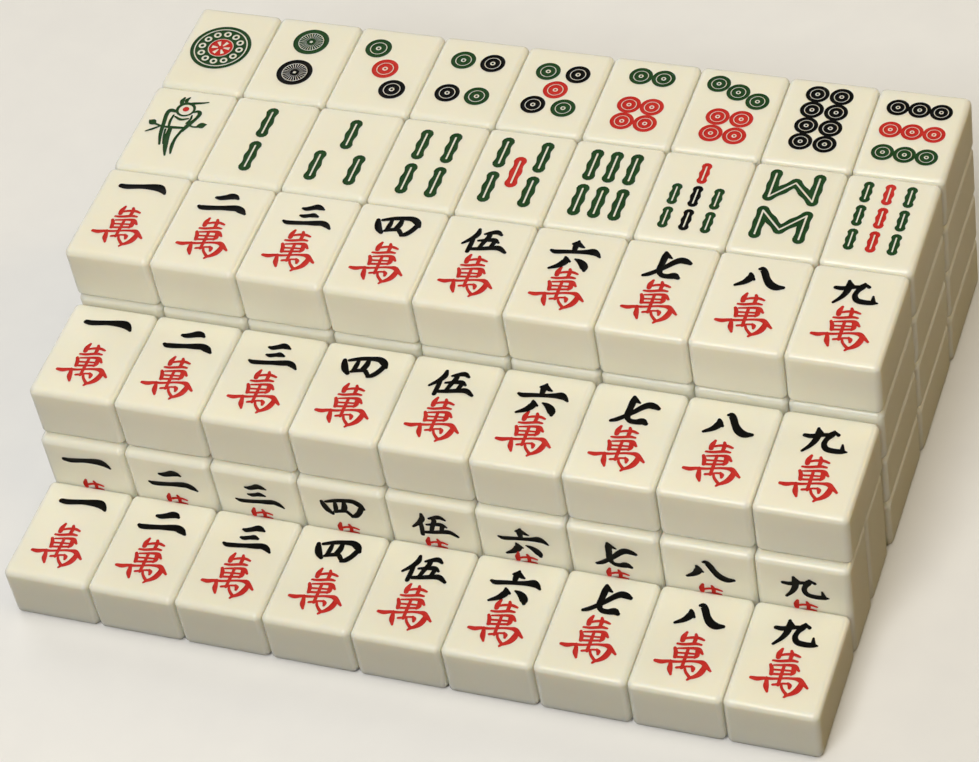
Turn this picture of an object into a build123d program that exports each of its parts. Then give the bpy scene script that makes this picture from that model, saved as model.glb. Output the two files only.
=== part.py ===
from build123d import *
import os

# A mahjong set of 144 loose tiles, stacked for keeping as rows of nine.
# Lengths are millimetres. X runs along the rows, Y from the viewer to the back, Z up.
# The origin is the middle of the stack's footprint, on the table.

# One tile: a block with every edge and corner rounded.
tile_width = 30.0
tile_length = 40.5
tile_thickness = 21.0
tile_edge_radius = 2.2

# How the tiles are set out.
tiles_in_row = 9
block_layers = 4
side_gap = 0.15  # between neighbours in a row
row_gap = 0.2  # between a row and the row behind it
ledge_setback = 2.6  # from the front of the standing rows to the front of the tiles laid on them
block_gap = 0.9  # from the tiles on the standing rows to the block behind them
row_drift = 0.5  # how far each row sits to the right of the one in front, as the stack was set by hand

# Where each row starts, measured back from the front face of the front row. The block stands behind both the
# tiles on the ledge and the standing rows, so it starts where the one that reaches further back lets it.
front_row_y = 0.0
standing_front_y = front_row_y + tile_length + row_gap
standing_back_y = standing_front_y + tile_thickness + row_gap
ledge_row_y = standing_front_y + ledge_setback
block_front_y = max(ledge_row_y + tile_length + block_gap, standing_back_y + tile_thickness + row_gap)
block_middle_y = block_front_y + tile_length + row_gap
block_back_y = block_middle_y + tile_length + row_gap

# How far each row starts to the right of the front row.
front_row_x = 0.0
standing_x = row_drift / 2
ledge_x = row_drift
block_front_x = 2 * row_drift
block_middle_x = 3 * row_drift
block_back_x = 4 * row_drift

# The whole stack, and the middle of the front row's first tile once the origin is in the footprint's middle.
row_width = tiles_in_row * tile_width + (tiles_in_row - 1) * side_gap
stack_width = row_width + block_back_x
stack_depth = block_back_y + tile_length
stack_height = block_layers * tile_thickness
first_tile_x = (tile_width - stack_width) / 2

# The columns of the block, each one suit, with what its lower layers and its top layer are called.
block_columns = [
    (block_front_x, block_front_y, "honour", "character"),
    (block_middle_x, block_middle_y, "bamboo", "bamboo"),
    (block_back_x, block_back_y, "dot", "dot"),
]


def flat_tile_middle(number, row_x, row_y, bottom_z):
    """The middle of a tile that lies face up, counted from the left end of its row."""
    x = first_tile_x + row_x + (number - 1) * (tile_width + side_gap)
    y = row_y + tile_length / 2 - stack_depth / 2
    return (x, y, bottom_z + tile_thickness / 2)


def standing_tile_middle(number, row_y):
    """The middle of a tile that stands upright on the table."""
    x = first_tile_x + standing_x + (number - 1) * (tile_width + side_gap)
    y = row_y + tile_thickness / 2 - stack_depth / 2
    return (x, y, tile_length / 2)


def write_piece(piece, name):
    """Labels a finished piece and writes it under its own name."""
    piece.label = name
    export_step(piece, f"parts/{name}.step")


os.makedirs("parts", exist_ok=True)

# A tile lying face up.
with BuildPart() as flat_tile:
    Box(tile_width, tile_length, tile_thickness)
    fillet(flat_tile.edges(), tile_edge_radius)

# The same tile stood on its short side.
with BuildPart() as standing_tile:
    Box(tile_width, tile_thickness, tile_length)
    fillet(standing_tile.edges(), tile_edge_radius)


def write_loose_tiles(name, row_x, row_y, bottom_z):
    """Writes a row of face-up tiles that are picked up one by one, each as its own piece."""
    for number in range(1, tiles_in_row + 1):
        with BuildPart() as tile:
            with Locations(flat_tile_middle(number, row_x, row_y, bottom_z)):
                add(flat_tile.part)
        write_piece(tile.part, f"{name}_{number}")


def write_flat_row(name, row_x, row_y, bottom_z):
    """Writes a row of face-up tiles that is lifted whole, as one group of separate tiles."""
    middles = [flat_tile_middle(number, row_x, row_y, bottom_z) for number in range(1, tiles_in_row + 1)]
    with BuildPart() as row:
        with Locations(*middles):
            add(flat_tile.part)
    write_piece(row.part, name)


def write_standing_row(name, row_y):
    """Writes a row of upright tiles, as one group of separate tiles."""
    middles = [standing_tile_middle(number, row_y) for number in range(1, tiles_in_row + 1)]
    with BuildPart() as row:
        with Locations(*middles):
            add(standing_tile.part)
    write_piece(row.part, name)


# The row laid on the table in front of everything.
write_loose_tiles("front_character", front_row_x, front_row_y, 0)

# Two rows standing back to back, and the row laid across their tops.
write_standing_row("standing_character_row", standing_front_y)
write_standing_row("standing_flower_row", standing_back_y)
write_loose_tiles("ledge_character", ledge_x, ledge_row_y, tile_length)

# The block: three columns of flat rows, with loose tiles on top.
for column_x, column_y, lower_name, top_name in block_columns:
    for layer in range(1, block_layers):
        write_flat_row(f"{lower_name}_layer_{layer}", column_x, column_y, (layer - 1) * tile_thickness)
    write_loose_tiles(f"top_{top_name}", column_x, column_y, (block_layers - 1) * tile_thickness)

print("stack", stack_width, "wide", stack_depth, "deep", stack_height, "high")
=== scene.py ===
"""Dresses a stacked mahjong set: 144 cream tiles with cut and painted signs, on a pale floor in soft light.

X runs along the rows, Y from the viewer to the back, and Z up. Places are metres. Signs are drawn in
millimetres on the face of one tile, from its top left corner with y downwards, like a sign cutter's pattern.
"""

import logging
import math
import random
from collections.abc import Sequence
from dataclasses import dataclass, field
from enum import Enum

import bmesh
import bpy
import numpy as np
from mathutils import Matrix, Vector
from mathutils.geometry import delaunay_2d_cdt


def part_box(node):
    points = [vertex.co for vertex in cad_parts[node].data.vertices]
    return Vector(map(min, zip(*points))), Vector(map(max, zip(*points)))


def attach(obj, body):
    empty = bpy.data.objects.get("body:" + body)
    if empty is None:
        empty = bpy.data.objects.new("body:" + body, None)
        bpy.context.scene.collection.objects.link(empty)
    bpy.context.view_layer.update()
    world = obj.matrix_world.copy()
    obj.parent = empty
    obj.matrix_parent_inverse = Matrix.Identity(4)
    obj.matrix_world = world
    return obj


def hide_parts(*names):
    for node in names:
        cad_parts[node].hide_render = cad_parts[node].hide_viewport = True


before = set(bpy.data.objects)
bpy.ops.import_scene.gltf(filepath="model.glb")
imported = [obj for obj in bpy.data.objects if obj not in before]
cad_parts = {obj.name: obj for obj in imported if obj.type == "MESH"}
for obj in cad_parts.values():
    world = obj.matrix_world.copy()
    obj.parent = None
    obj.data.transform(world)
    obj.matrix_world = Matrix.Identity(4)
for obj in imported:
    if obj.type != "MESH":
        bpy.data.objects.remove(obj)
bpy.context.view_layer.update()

logging.basicConfig(level=logging.INFO, format="%(message)s")
log = logging.getLogger("mahjong_set")

MM = 0.001
TILES_IN_ROW = 9
# The face of a tile, in the millimetres that the signs are drawn in.
FACE_WIDTH = 30.0
FACE_LENGTH = 40.5
# How much thinner a dressed tile is than its solid, so that stacked faces don't lie in one plane.
BEDDING_GAP = 0.02 * MM

# Corners of a tile that are closer than this, in metres, are one corner.
WELD_DISTANCE = 1e-7
# Starts the draws of each tile's tone.
TONE_SEED = 144

# A disc has this many sides, and this many more for each millimetre of its radius.
DISC_SIDES = 14
DISC_SIDES_PER_MM = 6
# How many pieces a brush stroke's round end has.
BRUSH_END_STEPS = 6

Point = tuple[float, float]
BrushPoint = tuple[float, float, float]
Brushwork = tuple[tuple[BrushPoint, ...], ...]
Colour = tuple[float, float, float]
Socket = bpy.types.NodeSocket


class Paint(Enum):
    """What covers a patch of a tile: its own plastic, or one of the three paints in the cut signs."""

    BARE = 0
    BLACK = 1
    RED = 2
    GREEN = 3


class Facing(Enum):
    """Which way a tile's sign looks, as the turns about X and Z from lying face up."""

    UP = (0.0, 0.0)
    FRONT = (90.0, 0.0)
    BACK = (90.0, 180.0)

    def turn(self) -> Matrix:
        """Returns the rotation that brings a tile lying face up to this facing."""
        tilt, spin = (math.radians(angle) for angle in self.value)
        return Matrix.Rotation(spin, 4, "Z") @ Matrix.Rotation(tilt, 4, "X")


@dataclass(frozen=True)
class Patch:
    """One area of a tile's face: cut in and painted, or left standing where its paint is BARE."""

    outline: tuple[Point, ...]
    paint: Paint


Sign = list[Patch]


def disc(centre: Point, radius: float, paint: Paint) -> Patch:
    """Draws a round patch.

    Args:
        centre: its middle on the tile's face.
        radius: its radius.
        paint: what fills it.

    Returns:
        The patch, with more sides the larger it is.
    """
    sides = DISC_SIDES + round(DISC_SIDES_PER_MM * radius)
    turns = [2 * math.pi * side / sides for side in range(sides)]
    x, y = centre
    return Patch(tuple((x + radius * math.cos(a), y + radius * math.sin(a)) for a in turns), paint)


def rings(centre: Point, radii: Sequence[float], paint: Paint, scale: float = 1.0) -> Sign:
    """Draws discs inside one another, painted and bare by turns.

    Args:
        centre: the middle of them all.
        radii: their radii over the scale, from the outside inwards.
        paint: what fills the first, the third and so on.
        scale: what the radii are multiplied by.

    Returns:
        The patches.
    """
    return [disc(centre, scale * radius, Paint.BARE if turn % 2 else paint)
            for turn, radius in enumerate(radii)]


def around(centre: Point, radius: float, count: int, first_turn: float = 0.0) -> list[Point]:
    """Returns places evenly round a circle, the first of them at first_turn in radians."""
    turns = [2 * math.pi * index / count + first_turn for index in range(count)]
    return [(centre[0] + radius * math.cos(turn), centre[1] + radius * math.sin(turn)) for turn in turns]


def wedge(centre: Point, inner: float, outer: float, start: float, width: float, paint: Paint) -> Patch:
    """Draws a short spoke between two circles.

    Args:
        centre: the middle of both circles.
        inner: the radius where the spoke starts.
        outer: the radius where it ends.
        start: the spoke's middle angle, in radians.
        width: the angle that it fills, in radians.
        paint: what fills it.

    Returns:
        The patch.
    """
    x, y = centre
    corners = ((inner, -width / 2), (outer, -width / 2), (outer, width / 2), (inner, width / 2))
    turned = ((radius, start + turn) for radius, turn in corners)
    return Patch(tuple((x + radius * math.cos(a), y + radius * math.sin(a)) for radius, a in turned), paint)


def smoothed(points: Sequence[BrushPoint], steps: int = 4) -> list[BrushPoint]:
    """Runs a Catmull-Rom curve through the points of a stroke, so that it bends and swells without corners.

    Args:
        points: places down the middle of the stroke, each with half the stroke's width there.
        steps: how many pieces each span is cut into.

    Returns:
        The curve's points, with the first and the last of the given ones at its ends.
    """
    given = [np.array(point) for point in points]
    padded = [2 * given[0] - given[1], *given, 2 * given[-1] - given[-2]]
    line = []
    for before, start, end, after in zip(padded, padded[1:], padded[2:], padded[3:]):
        for step in range(steps):
            t = step / steps
            line.append(
                0.5 * (2 * start + (end - before) * t
                       + (2 * before - 5 * start + 4 * end - after) * t ** 2
                       + (3 * start - before - 3 * end + after) * t ** 3)
            )
    return [tuple(point) for point in (*line, given[-1])]


def stroke(paint: Paint, *points: BrushPoint) -> Patch:
    """Draws one stroke of a brush with round ends.

    Args:
        paint: what fills it.
        points: places down its middle, each with half the stroke's width there.

    Returns:
        The patch, going up one side of the stroke and down the other.
    """
    line = smoothed(points)
    headings = [
        math.atan2(after[1] - before[1], after[0] - before[0])
        for before, after in zip([line[0], *line], [*line[1:], line[-1]])
    ]

    def side(index: int, turn: float) -> Point:
        """Returns the point half a width away from the line, turned from its heading."""
        x, y, half = line[index]
        angle = headings[index] + turn
        return (x + half * math.cos(angle), y + half * math.sin(angle))

    quarter = math.pi / 2
    last = len(line) - 1
    end_turns = [math.pi * step / BRUSH_END_STEPS for step in range(BRUSH_END_STEPS)]
    outline = [side(i, -quarter) for i in range(last)]
    outline += [side(last, -quarter + turn) for turn in end_turns]
    outline += [side(i, quarter) for i in range(last, 0, -1)]
    outline += [side(0, quarter + turn) for turn in end_turns]
    return Patch(tuple(outline), paint)


def weighted(points: Sequence[BrushPoint], weight: float) -> list[BrushPoint]:
    """Returns a stroke's points with its width multiplied by the weight."""
    return [(x, y, half * weight) for x, y, half in points]


def shifted(sign: Sign, dx: float, dy: float) -> Sign:
    """Returns the sign moved by dx to the right and dy down."""
    return [Patch(tuple((x + dx, y + dy) for x, y in patch.outline), patch.paint) for patch in sign]


class CharacterSuit:
    """Brush-written numbers one to nine in black over the sign for ten thousand in red."""

    shift = (0.67, 0.15)
    # How heavily each number was brushed, and the sign for ten thousand, against the strokes below.
    brush_weights: dict[int, float] = {
        1: 1.35, 2: 1.3, 3: 1.25, 4: 1.25, 5: 1.2, 6: 1.28, 7: 1.28, 8: 1.42, 9: 1.25,
    }
    ten_thousand_weight = 1.18
    numerals: dict[int, Brushwork] = {
        1: (
            ((6.8, 8.0, 0.7), (9.2, 8.1, 0.85), (14.2, 7.2, 0.8), (18.3, 6.8, 1.1), (20.5, 7.0, 1.2),
             (22.1, 8.1, 0.8), (23.0, 9.1, 0.4)),
        ),
        2: (
            ((11.0, 7.5, 0.5), (12.4, 7.5, 0.8), (14.2, 6.9, 0.95), (15.8, 6.2, 1.1), (17.3, 6.3, 0.9),
             (18.4, 6.9, 0.4)),
            ((6.5, 12.3, 0.5), (7.6, 12.7, 0.8), (10.3, 12.5, 0.85), (14.0, 11.9, 0.8), (17.3, 11.4, 1.0),
             (19.6, 11.2, 1.05), (21.5, 12.0, 1.0), (23.1, 13.2, 0.4)),
        ),
        3: (
            ((11.2, 7.0, 0.4), (12.5, 7.1, 0.75), (14.2, 6.4, 0.85), (15.7, 5.7, 1.0), (17.1, 6.0, 0.8),
             (18.4, 6.5, 0.3)),
            ((11.6, 10.3, 0.4), (12.9, 10.4, 0.7), (14.6, 9.85, 0.7), (15.8, 9.55, 0.85), (17.4, 9.9, 0.4)),
            ((6.8, 13.6, 0.4), (8.3, 14.1, 0.75), (11.7, 13.75, 0.75), (14.6, 13.3, 0.75),
             (17.9, 12.8, 0.95), (20.0, 12.5, 0.95), (21.7, 13.2, 0.85), (23.2, 14.5, 0.35)),
        ),
        4: (
            ((7.5, 7.6, 0.6), (8.0, 9.3, 0.9), (8.9, 11.3, 0.95), (10.3, 12.9, 0.6)),
            ((9.0, 7.4, 0.5), (12.5, 6.1, 0.7), (16.0, 5.4, 0.75), (18.7, 5.3, 0.95), (20.6, 6.5, 1.0),
             (21.8, 8.2, 0.5)),
            ((20.9, 8.2, 0.8), (19.9, 10.4, 0.8), (18.5, 12.2, 0.8), (17.1, 13.0, 0.5)),
            ((12.1, 7.0, 0.5), (12.0, 9.2, 0.7), (11.7, 11.6, 0.6)),
            ((15.3, 6.3, 0.6), (15.2, 8.4, 0.85), (14.6, 10.4, 0.8)),
            ((11.2, 11.9, 0.5), (13.2, 11.1, 0.65), (15.3, 10.7, 0.65), (16.3, 11.6, 0.65),
             (17.2, 12.7, 0.6)),
        ),
        5: (
            ((11.5, 5.7, 0.5), (11.5, 7.8, 0.85), (10.2, 10.1, 0.75), (7.8, 12.6, 0.4)),
            ((10.7, 9.9, 0.6), (10.7, 12.4, 0.7), (10.5, 15.8, 0.65)),
            ((13.8, 7.4, 0.4), (15.3, 6.7, 0.65), (17.5, 5.95, 0.85), (19.2, 6.9, 0.45)),
            ((15.3, 6.9, 0.8), (15.4, 8.4, 0.75), (14.5, 11.0, 0.7), (13.8, 13.6, 0.6)),
            ((12.6, 10.6, 0.4), (14.8, 10.0, 0.6), (17.6, 9.5, 0.8), (19.2, 10.4, 0.4)),
            ((18.0, 9.9, 0.7), (17.5, 12.0, 0.65), (17.3, 13.2, 0.6)),
            ((11.6, 14.5, 0.6), (14.4, 13.9, 0.7), (17.8, 13.0, 0.8), (20.2, 12.7, 0.9), (22.6, 14.2, 0.5)),
        ),
        6: (
            ((14.4, 5.0, 0.4), (14.0, 6.6, 0.85), (14.1, 9.2, 0.65)),
            ((14.4, 5.5, 0.5), (15.5, 6.8, 0.65), (16.8, 7.4, 0.3)),
            ((14.0, 5.6, 0.45), (12.9, 6.4, 0.4)),
            ((6.8, 10.3, 0.45), (8.3, 10.7, 0.75), (11.7, 10.1, 0.7), (15.4, 9.6, 0.65), (18.2, 9.1, 0.85),
             (20.2, 8.8, 1.15), (21.7, 9.5, 0.8), (22.9, 10.6, 0.35)),
            ((12.2, 12.4, 0.35), (12.6, 14.2, 1.05), (11.1, 16.3, 0.85), (8.4, 18.0, 0.4)),
            ((12.6, 12.9, 0.5), (14.1, 14.2, 0.35)),
            ((15.5, 12.8, 0.3), (17.0, 13.4, 0.75), (18.5, 14.6, 1.05), (19.4, 16.0, 1.0),
             (19.7, 17.1, 0.5)),
        ),
        7: (
            ((12.9, 4.7, 0.5), (13.0, 6.5, 0.9), (12.9, 9.5, 0.85), (12.8, 12.0, 0.85), (13.3, 13.8, 0.7)),
            ((13.2, 5.0, 0.5), (14.2, 6.2, 0.6), (15.3, 6.8, 0.3)),
            ((8.4, 15.5, 0.5), (10.0, 14.7, 0.7), (12.0, 13.1, 0.7), (14.4, 10.8, 0.75), (16.6, 8.4, 0.9),
             (18.4, 7.2, 1.05), (20.2, 7.4, 0.95), (21.6, 8.0, 0.6)),
            ((13.0, 13.4, 0.6), (14.3, 14.5, 0.75), (16.2, 14.6, 0.85), (18.1, 14.1, 1.1),
             (19.5, 14.8, 0.6)),
        ),
        8: (
            ((11.1, 8.6, 0.4), (11.5, 10.3, 0.95), (10.2, 12.4, 0.75), (7.6, 14.2, 0.4)),
            ((11.4, 9.0, 0.5), (12.8, 11.0, 0.35)),
            ((13.4, 6.2, 0.4), (14.3, 6.1, 0.75), (15.4, 7.6, 0.85), (16.5, 9.8, 0.85), (18.2, 12.0, 1.0),
             (20.3, 13.0, 0.95), (22.5, 12.7, 0.5)),
        ),
        9: (
            ((11.7, 6.1, 0.45), (12.1, 8.2, 0.9), (11.9, 10.7, 0.85), (10.8, 13.3, 0.65), (8.9, 15.8, 0.4)),
            ((8.2, 9.5, 0.6), (10.3, 9.5, 0.75), (13.6, 8.4, 0.65), (15.4, 8.0, 0.6)),
            ((12.0, 6.5, 0.4), (13.5, 8.0, 0.4)),
            ((16.7, 6.4, 0.4), (16.3, 7.6, 0.9), (15.1, 9.9, 0.7), (14.8, 12.0, 0.75), (15.9, 13.7, 0.85),
             (18.3, 14.1, 0.85), (20.8, 13.9, 0.75), (22.2, 13.8, 0.3)),
            ((16.8, 6.6, 0.4), (18.2, 7.6, 0.55)),
            ((20.4, 11.2, 0.3), (20.8, 13.4, 0.7)),
        ),
    }
    ten_thousand: Brushwork = (
        ((12.3, 17.1, 0.4), (11.8, 18.9, 0.75), (11.8, 20.4, 0.7)),
        ((12.4, 19.5, 0.4), (14.1, 18.8, 0.45), (16.4, 18.5, 0.5), (18.2, 19.0, 0.35)),
        ((15.2, 17.3, 0.4), (15.6, 18.6, 0.6), (15.5, 20.8, 0.5)),
        ((10.6, 21.9, 0.35), (12.4, 21.8, 0.45), (14.7, 21.2, 0.5), (16.3, 20.8, 0.5), (17.9, 20.9, 0.35)),
        ((10.3, 23.6, 0.45), (11.0, 25.1, 0.6), (11.3, 27.0, 0.55)),
        ((11.3, 23.6, 0.3), (14.1, 23.0, 0.4), (16.3, 22.6, 0.5), (17.8, 22.9, 0.7), (19.2, 24.2, 0.35)),
        ((17.4, 23.2, 0.6), (17.7, 25.0, 0.7), (17.2, 26.0, 0.45)),
        ((14.4, 22.9, 0.45), (14.4, 26.5, 0.5), (14.4, 30.6, 0.5)),
        ((11.3, 25.3, 0.35), (14.4, 24.9, 0.35), (17.2, 24.6, 0.35)),
        ((11.1, 27.0, 0.4), (14.1, 26.5, 0.4), (17.0, 25.9, 0.4)),
        ((5.7, 29.5, 0.5), (7.6, 29.6, 0.7), (9.6, 29.0, 0.55), (11.9, 28.7, 0.45), (14.1, 28.2, 0.4),
         (16.3, 27.6, 0.4), (18.6, 27.3, 0.5), (20.2, 27.4, 0.75), (21.7, 28.6, 0.65), (23.3, 30.0, 0.35)),
        ((10.3, 28.6, 0.4), (10.7, 30.1, 0.6), (11.0, 31.8, 0.75), (11.8, 33.7, 0.35)),
        ((20.9, 28.2, 0.5), (21.0, 29.8, 0.85), (20.3, 31.7, 0.85), (19.1, 33.0, 0.65), (17.9, 33.8, 0.5),
         (17.3, 34.6, 0.35)),
        ((15.2, 30.0, 0.35), (15.8, 31.5, 0.4), (16.9, 32.8, 0.45), (17.9, 33.7, 0.5)),
        ((12.8, 30.8, 0.4), (14.1, 30.4, 0.4), (15.6, 29.8, 0.35), (17.3, 29.5, 0.35)),
        ((17.2, 29.4, 0.4), (17.9, 30.1, 0.6), (18.0, 31.1, 0.4)),
    )

    @classmethod
    def sign(cls, number: int) -> Sign:
        """Returns the sign of the character tile with this number."""
        black = [stroke(Paint.BLACK, *weighted(points, cls.brush_weights[number]))
                 for points in cls.numerals[number]]
        red = [stroke(Paint.RED, *weighted(points, cls.ten_thousand_weight)) for points in cls.ten_thousand]
        return shifted(black + red, *cls.shift)


class DotSuit:
    """One to nine ringed dots, in black, red and green."""

    rosette_place: tuple[Point, float] = ((14.5, 19.4), 10.7)
    large_dots: tuple[tuple[Point, Paint], ...] = (((14.9, 11.3), Paint.GREEN), ((14.6, 26.9), Paint.BLACK))
    large_radius = 6.25
    # Where the dots of the higher numbers lie: radius, then places by paint.
    layouts: dict[int, tuple[float, dict[Paint, tuple[Point, ...]]]] = {
        3: (4.6, {Paint.GREEN: ((9.2, 10.5),), Paint.RED: ((14.9, 19.9),), Paint.BLACK: ((20.6, 29.3),)}),
        4: (4.3, {Paint.GREEN: ((10.0, 11.3), (20.1, 27.6)), Paint.BLACK: ((20.4, 11.2), (9.7, 27.7))}),
        5: (4.2, {Paint.GREEN: ((10.1, 11.8), (20.4, 28.2)), Paint.BLACK: ((20.5, 11.7), (9.9, 28.2)),
                  Paint.RED: ((15.2, 20.1),)}),
        6: (4.0, {Paint.GREEN: ((11.4, 8.8), (19.2, 8.8)),
                  Paint.RED: ((11.4, 22.8), (19.2, 22.7), (11.3, 30.7), (19.1, 30.6))}),
        7: (3.95, {Paint.GREEN: ((7.8, 8.0), (15.2, 11.0), (22.5, 14.2)),
                   Paint.RED: ((11.6, 23.3), (19.5, 23.2), (11.4, 31.2), (19.3, 31.2))}),
        8: (3.9, {Paint.BLACK: tuple((x, y) for x in (10.8, 18.8) for y in (7.4, 14.9, 22.4, 29.9))}),
        9: (3.7, {paint: tuple((x, y) for x in (7.7, 14.8, 21.9))
                  for paint, y in ((Paint.BLACK, 9.1), (Paint.RED, 19.6), (Paint.GREEN, 30.2))}),
    }
    # Shares of a dot's radius where paint and bare plastic take turns, from the rim inwards.
    ring_shares: tuple[float, ...] = (1.0, 0.65, 0.585, 0.21, 0.1)
    spoked_rim: tuple[float, ...] = (1.0, 0.71)
    spoked_heart: tuple[float, ...] = (0.26, 0.09)
    # The spokes between the two: where they start and end, and how much of their pitch is painted.
    spokes = 26
    spoke_span = (0.26, 0.67)
    spoke_fill = 0.74
    # The rosette's rim, the ring that its petals lie on, a petal and its eye, and its heart with its wedges.
    rosette_rim: tuple[float, ...] = (1.0, 0.88, 0.84)
    petals = 12
    petal_ring, petal_share, petal_eye_share = 0.64, 0.125, 0.06
    heart_border_share, heart_share = 0.42, 0.395
    heart_wedges = 6
    heart_wedge_span, heart_wedge_width = (0.1, 0.31), 0.42

    @classmethod
    def spoked_dot(cls, centre: Point, radius: float, paint: Paint) -> Sign:
        """Returns one large dot with a heavy rim round a ring of fine spokes."""
        pitch = 2 * math.pi / cls.spokes
        inner, outer = (radius * share for share in cls.spoke_span)
        spokes = [wedge(centre, inner, outer, spoke * pitch, pitch * cls.spoke_fill, paint)
                  for spoke in range(cls.spokes)]
        rim, heart = (rings(centre, shares, paint, radius) for shares in (cls.spoked_rim, cls.spoked_heart))
        return rim + spokes + heart

    @classmethod
    def rosette(cls, centre: Point, radius: float) -> Sign:
        """Returns the single dot: a green wheel of round petals about a red heart."""
        sign = rings(centre, cls.rosette_rim, Paint.GREEN, radius)
        for place in around(centre, radius * cls.petal_ring, cls.petals):
            sign.append(disc(place, radius * cls.petal_share, Paint.BARE))
            sign.append(disc(place, radius * cls.petal_eye_share, Paint.GREEN))
        sign.append(disc(centre, radius * cls.heart_border_share, Paint.BARE))
        sign.append(disc(centre, radius * cls.heart_share, Paint.RED))
        inner, outer = (radius * share for share in cls.heart_wedge_span)
        for turn in range(cls.heart_wedges):
            start = 2 * math.pi * turn / cls.heart_wedges
            sign.append(wedge(centre, inner, outer, start, cls.heart_wedge_width, Paint.BARE))
        return sign

    @classmethod
    def sign(cls, number: int) -> Sign:
        """Returns the sign of the dot tile with this number."""
        if number == 1:
            return cls.rosette(*cls.rosette_place)
        if number == 2:
            return [patch for centre, paint in cls.large_dots
                    for patch in cls.spoked_dot(centre, cls.large_radius, paint)]
        radius, places = cls.layouts[number]
        return [patch for paint, centres in places.items() for centre in centres
                for patch in rings(centre, cls.ring_shares, paint, radius)]


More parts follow.
